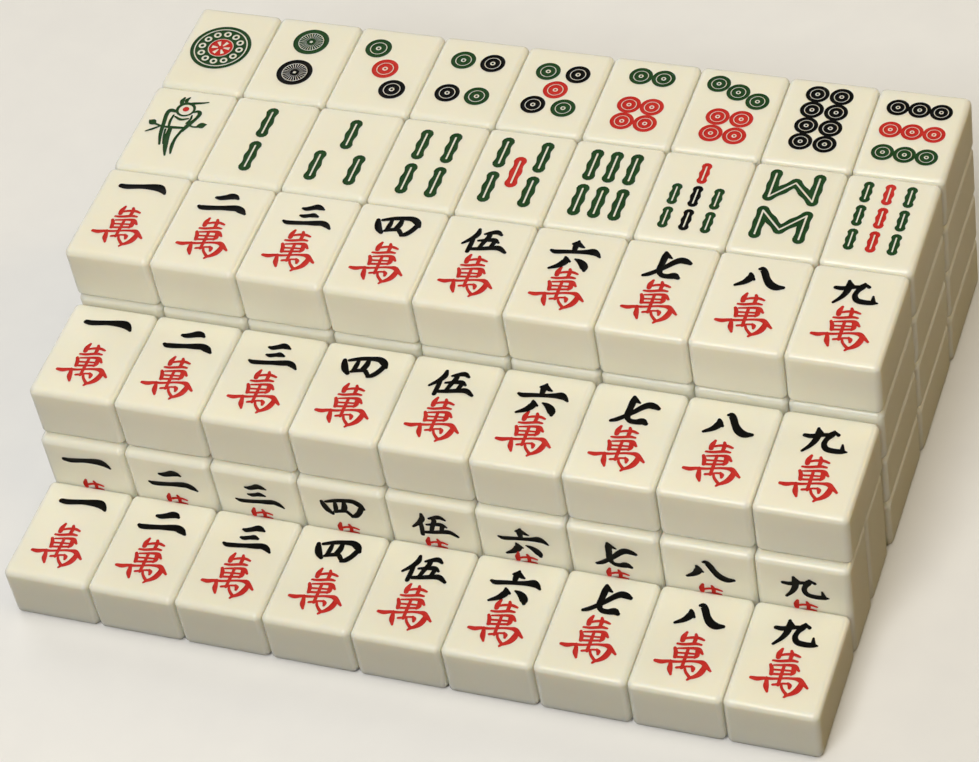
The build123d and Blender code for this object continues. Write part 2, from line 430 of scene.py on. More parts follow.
class BambooSuit:
    """A bird for one, and two to nine jointed bamboo sticks."""

    end_half_width = 2.2
    waist_half_width = 1.68
    slit_half_width = 0.3
    # Sticks shorter than this are drawn this much slimmer.
    short_stick, short_stick_share = 12.0, 0.8
    # Where the waists between the knuckles lie, as shares of a stick's length.
    waist_places = (0.31, 0.69)
    zigzag_knuckle_share = 0.92
    # The sticks of each number: length, then (paint, x, top) of every stick.
    layouts: dict[int, tuple[float, tuple[tuple[Paint, float, float], ...]]] = {
        2: (14.4, tuple((Paint.GREEN, 14.9, top) for top in (4.3, 20.5))),
        3: (14.3, ((Paint.GREEN, 15.1, 4.8), (Paint.GREEN, 8.1, 20.8), (Paint.GREEN, 21.9, 20.8))),
        4: (14.4, tuple((Paint.GREEN, x, top) for x in (10.2, 20.3) for top in (5.1, 21.3))),
        5: (14.4, (*((Paint.GREEN, x, top) for x in (8.0, 21.7) for top in (4.0, 20.1)),
                   (Paint.RED, 14.8, 12.1))),
        6: (14.6, tuple((Paint.GREEN, x, top) for x in (8.6, 15.3, 22.1) for top in (4.2, 20.5))),
        7: (9.7, ((Paint.RED, 15.1, 4.2),
                  *((paint, x, top) for top in (14.8, 25.5)
                    for paint, x in ((Paint.GREEN, 8.2), (Paint.BLACK, 15.1), (Paint.GREEN, 22.2))))),
        9: (9.5, tuple((paint, x, top) for top in (3.3, 13.9, 24.5)
                       for paint, x in ((Paint.GREEN, 7.7), (Paint.RED, 14.7), (Paint.GREEN, 21.6)))),
    }
    # The corners of the eight's two zigzags.
    zigzags: tuple[tuple[Point, ...], ...] = (
        ((7.8, 5.0), (7.8, 15.5), (14.9, 8.1), (22.0, 15.5), (22.0, 5.0)),
        ((7.8, 32.4), (7.8, 21.8), (14.9, 29.3), (22.0, 21.8), (22.0, 32.4)),
    )
    bird_head: tuple[tuple[Point, float, Paint], ...] = (
        ((14.7, 10.2), 3.5, Paint.GREEN), ((14.8, 10.4), 2.5, Paint.BARE), ((14.7, 10.1), 1.15, Paint.RED),
    )
    bird_plumage: Brushwork = (
        ((12.4, 8.2, 0.6), (11.9, 6.4, 0.75), (12.2, 4.9, 0.4)),
        ((13.6, 7.0, 0.5), (13.4, 5.7, 0.65), (14.0, 4.5, 0.3)),
        ((15.8, 7.2, 0.6), (17.6, 6.7, 0.5), (19.6, 6.2, 0.4), (21.3, 5.6, 0.25)),
        ((12.0, 11.8, 0.5), (9.7, 11.5, 0.8), (9.0, 13.4, 0.7), (9.7, 18.0, 0.65), (10.6, 23.0, 0.6),
         (12.1, 27.8, 0.35)),
        ((11.6, 13.6, 0.35), (11.5, 16.4, 0.45), (12.0, 19.2, 0.4)),
        ((17.6, 11.2, 0.4), (19.4, 10.5, 0.6), (20.4, 11.7, 0.7), (19.8, 14.4, 0.6), (18.6, 17.0, 0.8),
         (17.4, 20.4, 0.6)),
        ((18.0, 12.8, 0.3), (18.2, 14.6, 0.4), (17.5, 16.6, 0.35)),
        ((12.4, 14.2, 0.35), (14.8, 15.2, 0.5), (17.2, 14.4, 0.35)),
        ((10.4, 19.5, 0.45), (13.8, 19.3, 0.6), (17.8, 18.9, 0.45)),
        ((12.9, 20.0, 0.7), (13.4, 24.0, 0.85), (14.6, 28.6, 0.75), (16.0, 32.6, 0.3)),
        ((17.2, 20.4, 0.5), (16.5, 24.4, 0.5), (16.8, 28.4, 0.6), (17.6, 31.4, 0.3)),
        ((11.4, 20.6, 0.35), (12.1, 23.8, 0.35), (13.2, 27.4, 0.2)),
        ((10.0, 19.6, 0.45), (8.0, 19.0, 0.4), (6.2, 18.4, 0.45)),
        ((6.9, 18.7, 0.4), (6.3, 18.4, 0.95), (5.6, 18.0, 1.25), (4.9, 17.7, 0.95), (4.3, 17.4, 0.3)),
        ((8.8, 19.6, 0.3), (6.9, 21.2, 0.45), (4.9, 22.6, 0.25)),
        ((18.4, 17.2, 0.4), (20.2, 17.9, 0.35), (22.0, 17.7, 0.4)),
        ((21.7, 17.6, 0.4), (22.3, 17.2, 0.95), (23.1, 16.8, 1.25), (23.8, 16.4, 0.95),
         (24.5, 16.1, 0.3)),
    )
    feather_weight = 1.1

    @classmethod
    def stick(cls, start: Point, end: Point, paint: Paint) -> Sign:
        """Draws one stick with a knuckle at each end and in the middle, and a bare slit along it.

        Args:
            start: the outer end of the first knuckle.
            end: the outer end of the last knuckle.
            paint: the stick's paint.

        Returns:
            The stick and its slit.
        """
        along = np.array(end) - np.array(start)
        length = float(np.linalg.norm(along))
        along = along / length
        share = cls.short_stick_share if length < cls.short_stick else 1.0
        ends, waist = cls.end_half_width * share, cls.waist_half_width * share
        first_waist, last_waist = (place * length for place in cls.waist_places)
        stations = ((ends, ends), (first_waist, waist), (0.5 * length, ends), (last_waist, waist),
                    (length - ends, ends))
        body = [(*(np.array(start) + along * place), half) for place, half in stations]
        slit = [(*(np.array(start) + along * place), cls.slit_half_width * share)
                for place in (ends, length - ends)]
        return [stroke(paint, *body), stroke(Paint.BARE, *slit)]

    @classmethod
    def zigzag(cls, corners: Sequence[Point]) -> Sign:
        """Returns four sticks joined end to end through the corners, with one bare slit along them all."""
        ends, waist = cls.end_half_width * cls.zigzag_knuckle_share, cls.waist_half_width
        sticks: Sign = []
        slits: Sign = []
        for start, end in zip(corners, corners[1:]):
            run = [np.array(start) + (np.array(end) - np.array(start)) * share
                   for share in (0.0, 0.25, 0.5, 0.75, 1.0)]
            halves = (ends, waist, ends, waist, ends)
            sticks.append(stroke(Paint.GREEN, *((*place, half) for place, half in zip(run, halves))))
            slits.append(stroke(Paint.BARE, (*start, cls.slit_half_width), (*end, cls.slit_half_width)))
        return sticks + slits

    @classmethod
    def bird(cls) -> Sign:
        """Returns a bird on a twig from the front: red eye, crest, hanging wings and a long tail."""
        head = [disc(centre, radius, paint) for centre, radius, paint in cls.bird_head]
        feathers = (weighted(feather, cls.feather_weight) for feather in cls.bird_plumage)
        return head + [stroke(Paint.GREEN, *feather) for feather in feathers]

    @classmethod
    def sign(cls, number: int) -> Sign:
        """Returns the sign of the bamboo tile with this number."""
        if number == 1:
            return cls.bird()
        if number == 8:
            return [patch for corners in cls.zigzags for patch in cls.zigzag(corners)]
        length, sticks = cls.layouts[number]
        return [patch for paint, x, top in sticks
                for patch in cls.stick((x, top), (x, top + length), paint)]


class HonourSuit:
    """The four winds in black, the red and green honours, and the blank one with its plain frame."""

    order: tuple[str, ...] = ("east", "south", "west", "north", "centre", "fortune", "blank")
    paints: dict[str, Paint] = {"centre": Paint.RED, "fortune": Paint.GREEN}
    # The middles of the strokes of each word, all drawn with one even brush.
    words: dict[str, tuple[tuple[Point, ...], ...]] = {
        "east": (
            ((7.0, 10.4), (15.0, 9.6), (22.6, 9.4)), ((9.4, 13.4), (9.8, 18.0), (10.0, 22.6)),
            ((9.6, 13.6), (15.0, 13.0), (20.2, 12.9)), ((20.2, 13.0), (20.0, 18.0), (19.6, 22.6)),
            ((10.0, 17.8), (19.8, 17.5)), ((10.0, 22.2), (19.6, 21.9)),
            ((14.8, 6.2), (14.9, 20.0), (14.8, 33.6)),
            ((13.8, 22.8), (10.4, 27.0), (5.8, 30.6)), ((15.8, 22.8), (19.6, 27.0), (24.2, 30.2)),
        ),
        "south": (
            ((8.0, 10.6), (15.0, 9.8), (21.8, 9.6)), ((14.9, 6.0), (14.8, 9.6), (14.0, 14.0)),
            ((7.4, 14.6), (7.5, 24.0), (7.2, 33.0)), ((7.4, 14.8), (15.0, 14.0), (22.4, 14.0)),
            ((22.4, 14.0), (22.5, 24.0), (22.2, 31.6)), ((22.2, 31.8), (20.2, 31.0)),
            ((11.4, 17.0), (12.6, 19.6)), ((18.2, 16.8), (17.0, 19.6)), ((10.6, 22.2), (19.4, 21.8)),
            ((10.2, 26.4), (19.8, 26.0)), ((15.0, 20.4), (14.9, 26.0), (14.9, 32.4)),
        ),
        "west": (
            ((6.2, 9.6), (15.0, 8.8), (23.6, 8.8)), ((8.0, 15.4), (8.2, 23.0), (8.6, 31.2)),
            ((8.0, 15.6), (15.0, 14.8), (22.0, 14.8)), ((22.0, 14.8), (21.8, 23.0), (21.4, 31.2)),
            ((8.6, 30.4), (21.4, 29.9)), ((12.4, 9.2), (12.4, 17.0), (10.4, 23.6)),
            ((17.2, 9.0), (17.0, 18.0), (18.0, 21.8), (20.0, 22.0)),
        ),
        "north": (
            ((11.6, 8.0), (11.6, 20.0), (11.5, 32.0)), ((6.2, 15.8), (11.2, 15.2)),
            ((5.4, 27.4), (8.4, 25.8), (11.2, 23.6)),
            ((17.2, 7.6), (17.1, 20.0), (17.4, 28.0)), ((17.4, 28.2), (19.4, 30.4), (23.4, 30.2)),
            ((23.6, 30.0), (23.8, 26.4)), ((22.8, 13.0), (20.4, 15.8), (17.6, 18.0)),
        ),
        "centre": (
            ((8.0, 12.4), (8.3, 17.0), (8.8, 22.8)), ((8.0, 12.6), (15.0, 11.8), (21.8, 11.8)),
            ((21.8, 11.8), (21.5, 17.0), (21.0, 22.6)), ((8.8, 21.8), (15.0, 21.2), (21.0, 21.2)),
            ((14.9, 5.6), (14.9, 20.0), (14.8, 34.4)),
        ),
        "fortune": (
            ((7.6, 8.2), (12.4, 7.8)), ((12.4, 8.0), (10.0, 12.0), (6.2, 15.0)), ((8.4, 10.8), (9.8, 12.6)),
            ((16.4, 6.4), (19.4, 11.4), (23.8, 14.6)), ((20.6, 6.8), (18.2, 9.2)),
            ((23.0, 9.2), (20.6, 11.6)), ((7.6, 17.4), (13.0, 17.0)), ((12.9, 17.2), (12.8, 20.6)),
            ((8.0, 20.8), (12.8, 20.4)), ((8.0, 20.8), (7.6, 24.2)), ((7.6, 24.2), (13.0, 23.8)),
            ((12.9, 24.0), (12.8, 30.6), (10.4, 31.2)),
            ((17.0, 16.8), (16.9, 20.0), (15.4, 22.4)), ((17.0, 16.8), (21.0, 16.5)),
            ((21.0, 16.6), (21.1, 20.4), (23.2, 20.8)), ((16.0, 24.8), (21.8, 24.4)),
            ((21.8, 24.6), (19.4, 29.2), (15.2, 32.6)), ((16.8, 26.6), (19.8, 30.4), (23.6, 32.6)),
        ),
    }
    brush_half_width = 1.05
    # A word of this many strokes takes a finer brush, so that its strokes stay apart.
    dense_strokes, fine_brush_share = 12, 0.7
    # The brush's width where a stroke starts and where it ends, as shares of its width between them.
    start_swell, end_swell = 0.75, 0.85
    # The blank honour's double frame: how far in from the tile's edges each rectangle lies.
    frame_insets = ((5.0, Paint.BLACK), (6.0, Paint.BARE), (7.2, Paint.BLACK), (7.7, Paint.BARE))

    @classmethod
    def frame(cls) -> Sign:
        """Returns the plain double frame of the blank honour."""
        sign = []
        for inset, paint in cls.frame_insets:
            right, bottom = FACE_WIDTH - inset, FACE_LENGTH - inset
            sign.append(Patch(((inset, inset), (right, inset), (right, bottom), (inset, bottom)), paint))
        return sign

    @classmethod
    def sign(cls, number: int) -> Sign:
        """Returns the sign of the honour with this place in the order, counted from one and going round."""
        name = cls.order[(number - 1) % len(cls.order)]
        if name == "blank":
            return cls.frame()
        word = cls.words[name]
        half = cls.brush_half_width * (cls.fine_brush_share if len(word) >= cls.dense_strokes else 1.0)
        paint = cls.paints.get(name, Paint.BLACK)
        sign = []
        for points in word:
            swell = [cls.start_swell, *[1.0] * (len(points) - 2), cls.end_swell]
            sign.append(stroke(paint, *((*point, half * share) for point, share in zip(points, swell))))
        return sign


class FlowerSuit:
    """Eight flower tiles: open blooms of four to seven petals on leafy stems, in two colourings."""

    # How many flowers come in each colouring, and how many petals the first of them has.
    tiles_per_colouring, fewest_petals = 4, 4
    bloom_middle, petal_reach = (14.8, 13.6), 4.6
    petal_radii: tuple[float, ...] = (2.6, 1.5, 0.7)
    heart_radii: tuple[float, ...] = (1.9, 0.9)
    stem_and_leaves: Brushwork = (
        ((14.8, 18.0, 0.5), (13.8, 25.0, 0.6), (15.6, 34.6, 0.5)),
        ((14.0, 27.4, 0.3), (10.4, 24.8, 1.3), (6.6, 24.4, 0.2)),
        ((14.6, 30.6, 0.3), (18.6, 27.6, 1.3), (23.0, 27.4, 0.2)),
    )

    @classmethod
    def sign(cls, number: int) -> Sign:
        """Returns the sign of the flower tile with this number.

        Args:
            number: 1 to 4 where the bloom is red, and 5 to 8 where it is black.

        Returns:
            A stem with two leaves and an open bloom.
        """
        bloom_paint = Paint.RED if number <= cls.tiles_per_colouring else Paint.BLACK
        petals = cls.fewest_petals + (number - 1) % cls.tiles_per_colouring
        sign = [stroke(Paint.GREEN, *points) for points in cls.stem_and_leaves]
        for place in around(cls.bloom_middle, cls.petal_reach, petals, -math.pi / 2):
            sign += rings(place, cls.petal_radii, bloom_paint)
        return sign + rings(cls.bloom_middle, cls.heart_radii, Paint.GREEN)


class Suit(Enum):
    """The kinds of tile, each with the class that draws its signs."""

    CHARACTER = CharacterSuit
    DOT = DotSuit
    BAMBOO = BambooSuit
    HONOUR = HonourSuit
    FLOWER = FlowerSuit

    def sign(self, number: int) -> Sign:
        """Returns the sign of this kind's tile with this number."""
        return self.value.sign(number)


@dataclass
class Surface:
    """A mesh in the making: corners in metres, and each face's corners, their normals and its paint."""

    corners: list[Sequence[float]] = field(default_factory=list)
    faces: list[tuple[int, ...]] = field(default_factory=list)
    normals: list[Sequence[Sequence[float]]] = field(default_factory=list)
    paints: list[Paint] = field(default_factory=list)

    def add_face(self, corners: tuple[int, ...], normals: Sequence[Sequence[float]], paint: Paint) -> None:
        """Adds one face with a normal for each of its corners."""
        self.faces.append(corners)
        self.normals.append(normals)
        self.paints.append(paint)


@dataclass
class SignCutter:
    """Cuts a sign into a flat face: the painted areas lie lower, with short sloping walls round them.

    The leans say how far the shading normals tip towards the paint, for each unit of height, on the painted
    floor beside a wall, and at a wall's rim and foot.
    """

    depth: float = 0.32 * MM
    wall_run: float = 0.07 * MM
    join_distance_mm: float = 0.0005
    floor_lean: float = 0.35
    rim_lean: float = 1.6
    foot_lean: float = 2.4

    def cut(
        self, surface: Surface, sign: Sign, half_width: float, half_length: float, height: float
    ) -> None:
        """Adds a rectangle with the sign cut into it.

        Args:
            surface: what the faces are added to.
            sign: the patches, where a later one covers an earlier one.
            half_width: half the rectangle's size along X.
            half_length: half its size along Y.
            height: the rectangle's height.
        """
        places, faces, paints = self._divide(sign, half_width, half_length)
        walls = self._walls(faces, paints)
        inwards = self._inwards(places, walls)
        first = len(surface.corners)
        surface.corners += [(x, y, height) for x, y in places]
        sunk: dict[int, int] = {}
        for face, paint in zip(faces, paints):
            if paint is Paint.BARE:
                surface.add_face(tuple(first + i for i in face), [(0.0, 0.0, 1.0)] * 3, paint)
                continue
            for i in face:
                if i not in sunk:
                    sunk[i] = len(surface.corners)
                    x, y = (value + step * self.wall_run
                            for value, step in zip(places[i], inwards.get(i, (0.0, 0.0))))
                    surface.corners.append((x, y, height - self.depth))
            normals = [self._tilted(inwards.get(i), self.floor_lean) for i in face]
            surface.add_face(tuple(sunk[i] for i in face), normals, paint)
        for (a, b), paint in walls.items():
            rim = [self._tilted(inwards[i], self.rim_lean) for i in (a, b)]
            foot = [self._tilted(inwards[i], self.foot_lean) for i in (b, a)]
            surface.add_face((first + a, first + b, sunk[b], sunk[a]), rim + foot, paint)

    def _divide(
        self, sign: Sign, half_width: float, half_length: float
    ) -> tuple[list[Point], list[tuple[int, ...]], list[Paint]]:
        """Divides the rectangle along the edges of every patch.

        Args:
            sign: the patches in the order that they are laid down.
            half_width: half the rectangle's size along X.
            half_length: half its size along Y.

        Returns:
            The corners in metres, the triangles between them and the paint of each triangle.
        """
        outlines = [[(-half_width, -half_length), (half_width, -half_length),
                     (half_width, half_length), (-half_width, half_length)]]
        for patch in sign:
            outline = [((x - FACE_WIDTH / 2) * MM, (FACE_LENGTH / 2 - y) * MM) for x, y in patch.outline]
            turn = sum(x0 * y1 - x1 * y0 for (x0, y0), (x1, y1) in zip(outline, outline[1:] + outline[:1]))
            outlines.append(outline if turn > 0 else outline[::-1])
        corners = [Vector(point) / MM for outline in outlines for point in outline]
        loops = []
        start = 0
        for outline in outlines:
            loops.append(list(range(start, start + len(outline))))
            start += len(outline)
        places, _, faces, _, _, origins = delaunay_2d_cdt(corners, [], loops, 0, self.join_distance_mm)
        order = [Paint.BARE, *(patch.paint for patch in sign)]
        paints = [order[max(origin)] for origin in origins]
        return [(place.x * MM, place.y * MM) for place in places], [tuple(face) for face in faces], paints

    @staticmethod
    def _walls(faces: list[tuple[int, ...]], paints: list[Paint]) -> dict[tuple[int, int], Paint]:
        """Returns each edge that has paint on its left and bare plastic on its right, with that paint."""
        painted = {}
        bare = set()
        for face, paint in zip(faces, paints):
            for a, b in zip(face, face[1:] + face[:1]):
                if paint is Paint.BARE:
                    bare.add((a, b))
                else:
                    painted[(a, b)] = paint
        return {(a, b): paint for (a, b), paint in painted.items() if (b, a) in bare}

    @staticmethod
    def _inwards(places: list[Point], walls: dict[tuple[int, int], Paint]) -> dict[int, Point]:
        """Returns, for each corner on a wall, the flat direction from the wall into the paint."""
        sums: dict[int, list[float]] = {}
        for a, b in walls:
            dx, dy = places[b][0] - places[a][0], places[b][1] - places[a][1]
            length = math.hypot(dx, dy)
            for corner in (a, b):
                total = sums.setdefault(corner, [0.0, 0.0])
                total[0] -= dy / length
                total[1] += dx / length
        return {corner: tuple(Vector(total).normalized()) for corner, total in sums.items()}

    @staticmethod
    def _tilted(towards: Point | None, lean: float) -> tuple[float, float, float]:
        """Returns the upward normal leaned towards a flat direction, or straight up where there is none."""
        if towards is None:
            return (0.0, 0.0, 1.0)
        return tuple(Vector((towards[0] * lean, towards[1] * lean, 1.0)).normalized())


@dataclass
class TileMaker:
    """Makes the mesh of a tile: a block rounded on all edges and corners, its sign cut into the top."""

    width: float
    length: float
    thickness: float
    edge_radius: float = 2.2 * MM
    edge_steps: int = 6
    upright: float = 0.9999
    cutter: SignCutter = field(default_factory=SignCutter)
    made: dict[tuple[Suit, int], Surface] = field(default_factory=dict)

    def tile(self, suit: Suit, number: int) -> Surface:
        """Returns the surface of a tile that lies face up about the origin, made once for each sign."""
        key = (suit, number)
        if key not in self.made:
            self.made[key] = self._cut_tile(suit.sign(number))
        return self.made[key]

    def _cut_tile(self, sign: Sign) -> Surface:
        """Builds the rounded block, leaves out its flat top and puts the cut sign there.

        Args:
            sign: what is cut into the top.

        Returns:
            The closed surface of the whole tile.
        """
        surface = Surface()
        half = Vector((self.width, self.length, self.thickness)) / 2
        core = half - Vector((self.edge_radius,) * 3)
        block = self._rounded_block(half, core)
        surface.corners += [tuple(corner.co) for corner in block.verts]
        for face in block.faces:
            if face.normal.z > self.upright and face.calc_area() > core.x * core.y:
                continue
            normals = [tuple(self._outwards(corner.co, core)) for corner in face.verts]
            surface.add_face(tuple(corner.index for corner in face.verts), normals, Paint.BARE)
        block.free()
        self.cutter.cut(surface, sign, core.x, core.y, half.z)
        return self._welded(surface)

    def _rounded_block(self, half: Vector, core: Vector) -> bmesh.types.BMesh:
        """Bevels a block and brings every corner to the exact round.

        Args:
            half: half the block's size.
            core: half the size of the inner block, whose distance from the skin is the edge radius.

        Returns:
            The block's mesh.
        """
        block = bmesh.new()
        bmesh.ops.create_cube(block, size=2.0)
        bmesh.ops.scale(block, vec=half, verts=block.verts)
        bmesh.ops.bevel(block, geom=block.edges[:], offset=self.edge_radius, segments=self.edge_steps,
                        profile=0.5, affect="EDGES")
        for corner in block.verts:
            corner.co = self._nearest(corner.co, core) + self._outwards(corner.co, core) * self.edge_radius
        block.normal_update()
        block.verts.index_update()
        return block

    @staticmethod
    def _nearest(place: Vector, core: Vector) -> Vector:
        """Returns the point of the inner block that is nearest to a place."""
        return Vector(max(-limit, min(limit, value)) for value, limit in zip(place, core))

    @classmethod
    def _outwards(cls, place: Vector, core: Vector) -> Vector:
        """Returns the direction from the inner block straight out to a place on the rounded skin."""
        return (place - cls._nearest(place, core)).normalized()

    @staticmethod
    def _welded(surface: Surface) -> Surface:
        """Returns the surface with corners that lie in one place made one."""
        keys = np.round(np.array(surface.corners) / WELD_DISTANCE).astype(np.int64)
        _, kept, renamed = np.unique(keys, axis=0, return_index=True, return_inverse=True)
        renamed = renamed.ravel()
        corners = [surface.corners[i] for i in kept]
        faces = [tuple(int(renamed[i]) for i in face) for face in surface.faces]
        return Surface(corners, faces, surface.normals, surface.paints)


class Graph:
    """A short hand for laying out the nodes of one material or world."""

    def __init__(self, tree: bpy.types.NodeTree) -> None:
        """Starts with the coordinates in this tree."""
        self.tree = tree
        self.coordinates = self.node("ShaderNodeTexCoord")

    def node(self, kind: str, **settings: object) -> bpy.types.Node:
        """Adds a node and sets its properties."""
        made = self.tree.nodes.new(kind)
        for name, value in settings.items():
            setattr(made, name, value)
        return made

    def link(self, source: Socket, target: Socket) -> None:
        """Joins two sockets."""
        self.tree.links.new(source, target)

    def noise(self, scale: float, detail: float, stretch: Colour = (1.0, 1.0, 1.0)) -> Socket:
        """Adds a cloudy pattern fixed to the piece.

        Args:
            scale: how many clouds fit in a metre.
            detail: how many finer layers are added.
            stretch: a factor for the scale along each axis.

        Returns:
            The pattern's value, about 0 to 1.
        """
        mapping = self.node("ShaderNodeMapping")
        mapping.inputs["Scale"].default_value = stretch
        self.link(self.coordinates.outputs["Object"], mapping.inputs["Vector"])
        noise = self.node("ShaderNodeTexNoise")
        noise.inputs["Scale"].default_value = scale
        noise.inputs["Detail"].default_value = detail
        self.link(mapping.outputs["Vector"], noise.inputs["Vector"])
        return noise.outputs["Fac"]

    def attribute(self, name: str) -> Socket:
        """Returns the value of a mesh attribute."""
        return self.node("ShaderNodeAttribute", attribute_name=name).outputs["Fac"]

    def spread(
        self, value: Socket, low: float = 0.0, high: float = 1.0, start: float = 0.3, end: float = 0.7
    ) -> Socket:
        """Maps a value from start and end to low and high."""
        mapped = self.node("ShaderNodeMapRange")
        for socket, number in zip(("From Min", "From Max", "To Min", "To Max"), (start, end, low, high)):
            mapped.inputs[socket].default_value = number
        self.link(value, mapped.inputs["Value"])
        return mapped.outputs["Result"]

    def mixed(self, share: Socket, first: Colour | Socket, second: Colour | Socket) -> Socket:
        """Mixes two colours by a share, where 0 is the first."""
        mix = self.node("ShaderNodeMix", data_type="RGBA")
        self.link(share, mix.inputs["Factor"])
        for name, colour in (("A", first), ("B", second)):
            if isinstance(colour, tuple):
                mix.inputs[name].default_value = (*colour, 1.0)
            else:
                self.link(colour, mix.inputs[name])
        return mix.outputs["Result"]

    def paired(self, operation: str, first: Socket, second: Socket) -> Socket:
        """Returns what a calculation makes of two values."""
        node = self.node("ShaderNodeMath", operation=operation)
        self.link(first, node.inputs[0])
        self.link(second, node.inputs[1])
        return node.outputs["Value"]

    def total(self, *parts: tuple[Socket, float]) -> Socket:
        """Returns the sum of several values, each times its weight."""
        running = None
        for value, weight in parts:
            scaled = self.node("ShaderNodeMath", operation="MULTIPLY_ADD")
            self.link(value, scaled.inputs[0])
            scaled.inputs[1].default_value = weight
            scaled.inputs[2].default_value = 0.0
            if running is not None:
                self.link(running, scaled.inputs[2])
            running = scaled.outputs["Value"]
        return running

    def looked_at(self) -> Socket:
        """Returns 1 for what the camera sees, also by a mirror or through glass, and 0 for other light."""
        light = self.node("ShaderNodeLightPath").outputs
        indirect = self.paired("MAXIMUM", light["Is Glossy Ray"], light["Is Transmission Ray"])
        return self.paired("MAXIMUM", light["Is Camera Ray"], indirect)


class SurfaceGraph(Graph):
    """The nodes of one surface material, with its shader."""

    def __init__(self, name: str) -> None:
        """Starts an empty material of this name with a shader and its output."""
        self.material = bpy.data.materials.new(name)
        self.material.use_nodes = True
        self.material.node_tree.nodes.clear()
        super().__init__(self.material.node_tree)
        self.shader = self.node("ShaderNodeBsdfPrincipled")
        self.link(self.shader.outputs["BSDF"], self.node("ShaderNodeOutputMaterial").inputs["Surface"])

    def feed(self, socket: str, value: float | Colour | Socket) -> None:
        """Gives a socket of the shader a number or a colour, or links a pattern to it."""
        if isinstance(value, Socket):
            self.link(value, self.shader.inputs[socket])
        else:
            self.shader.inputs[socket].default_value = value

    def bump(self, height: Socket, distance: float, strength: float) -> None:
        """Roughens the shader's surface by a height pattern."""
        bump = self.node("ShaderNodeBump")
        bump.inputs["Strength"].default_value = strength
        bump.inputs["Distance"].default_value = distance
        self.link(height, bump.inputs["Height"])
        self.feed("Normal", bump.outputs["Normal"])


@dataclass(frozen=True)
class IvoryFinish:
    """Cream melamine: cloudy in tone, tumbled smooth, glossier where hands polished the edges, and lighter
    along the rounded edges as a painted highlight.

    A noise is given as how many clouds fit in a metre, and its detail. Weights and shares have no unit.
    """

    name: str = "cream_melamine"
    colour: Colour = (0.87, 0.845, 0.71)
    # A lighter colour laid along the rounded edges: a painted highlight of the light that they catch.
    clouded: Colour = (0.84, 0.81, 0.67)
    edge_highlight: Colour = (0.9, 0.873, 0.735)
    clouds: tuple[float, float] = (38.0, 3.0)
    flecks: tuple[float, float] = (900.0, 2.0)
    grain: tuple[float, float] = (260.0, 3.0)
    cloud_weight: float = 0.75
    fleck_weight: float = 0.15
    tile_weight: float = 0.35
    cloudy_from: float = 0.35
    cloudy_to: float = 0.9
    # How far the rounded edges go towards the lighter colour of the painted highlight.
    edge_highlight_share: float = 0.4
    roughness: tuple[float, float] = (0.34, 0.46)
    edge_smoothing: float = -0.12
    specular: float = 0.02
    edge_polish: float = 1.0
    edge_polish_roughness: float = 0.2
    glow: float = 1.0
    glow_reach: Colour = (1.0, 0.88, 0.7)
    glow_scale: float = 5.0 * MM
    # How much the grain and the flecks each add to the bumps.
    bump_weights: tuple[float, float] = (0.7, 0.3)
    bump_height: float = 0.04 * MM
    bump_strength: float = 0.35

    def material(self) -> bpy.types.Material:
        """Builds the material."""
        graph = SurfaceGraph(self.name)
        clouds, flecks, grain = (graph.noise(*noise) for noise in (self.clouds, self.flecks, self.grain))
        # How round each spot is: it lays the painted highlight and the coat's polish along the edges.
        edge = graph.attribute("edge_wear")
        tone = graph.total((clouds, self.cloud_weight), (flecks, self.fleck_weight),
                           (graph.attribute("tile_tone"), self.tile_weight))
        cloudy = graph.spread(tone, start=self.cloudy_from, end=self.cloudy_to)
        plastic = graph.mixed(cloudy, self.colour, self.clouded)
        # The rounded edges are mixed towards the lighter colour, a painted highlight; the same mask also
        # smooths and coats them.
        graph.feed("Base Color", graph.mixed(graph.total((edge, self.edge_highlight_share)), plastic, self.edge_highlight))
        matt = graph.spread(grain, *self.roughness)
        graph.feed("Roughness", graph.total((matt, 1.0), (edge, self.edge_smoothing)))
        graph.feed("Specular IOR Level", self.specular)
        graph.feed("Coat Weight", graph.total((edge, self.edge_polish)))
        graph.feed("Coat Roughness", self.edge_polish_roughness)
        graph.feed("Subsurface Weight", self.glow)
        graph.feed("Subsurface Radius", self.glow_reach)
        graph.feed("Subsurface Scale", self.glow_scale)
        height = graph.total(*zip((grain, flecks), self.bump_weights))
        graph.bump(height, self.bump_height, self.bump_strength)
        return graph.material


@dataclass(frozen=True)
class PaintFinish:
    """Enamel laid into the cut signs by brush, so its depth and gloss are a little uneven."""

    name: str
    colour: Colour
    thin: Colour
    strokes: tuple[float, float, Colour] = (420.0, 3.0, (1.0, 2.2, 1.0))
    pools: tuple[float, float] = (150.0, 2.0)
    thin_from: float = 0.4
    thin_to: float = 0.75
    roughness: tuple[float, float] = (0.36, 0.52)
    specular: float = 0.08
    # How much the brush strokes and the pools of paint each add to the thin places, and to the bumps.
    thinning_weights: tuple[float, float] = (0.5, 0.5)
    bump_weights: tuple[float, float] = (0.6, 0.4)
    bump_height: float = 0.05 * MM
    bump_strength: float = 0.4

    def material(self) -> bpy.types.Material:
        """Builds the material."""
        graph = SurfaceGraph(self.name)
        strokes, pools = graph.noise(*self.strokes), graph.noise(*self.pools)
        thinning = graph.total(*zip((strokes, pools), self.thinning_weights))
        thinned = graph.spread(thinning, start=self.thin_from, end=self.thin_to)
        graph.feed("Base Color", graph.mixed(thinned, self.colour, self.thin))
        graph.feed("Roughness", graph.spread(strokes, *self.roughness))
        graph.feed("Specular IOR Level", self.specular)
        height = graph.total(*zip((strokes, pools), self.bump_weights))
        graph.bump(height, self.bump_height, self.bump_strength)
        return graph.material


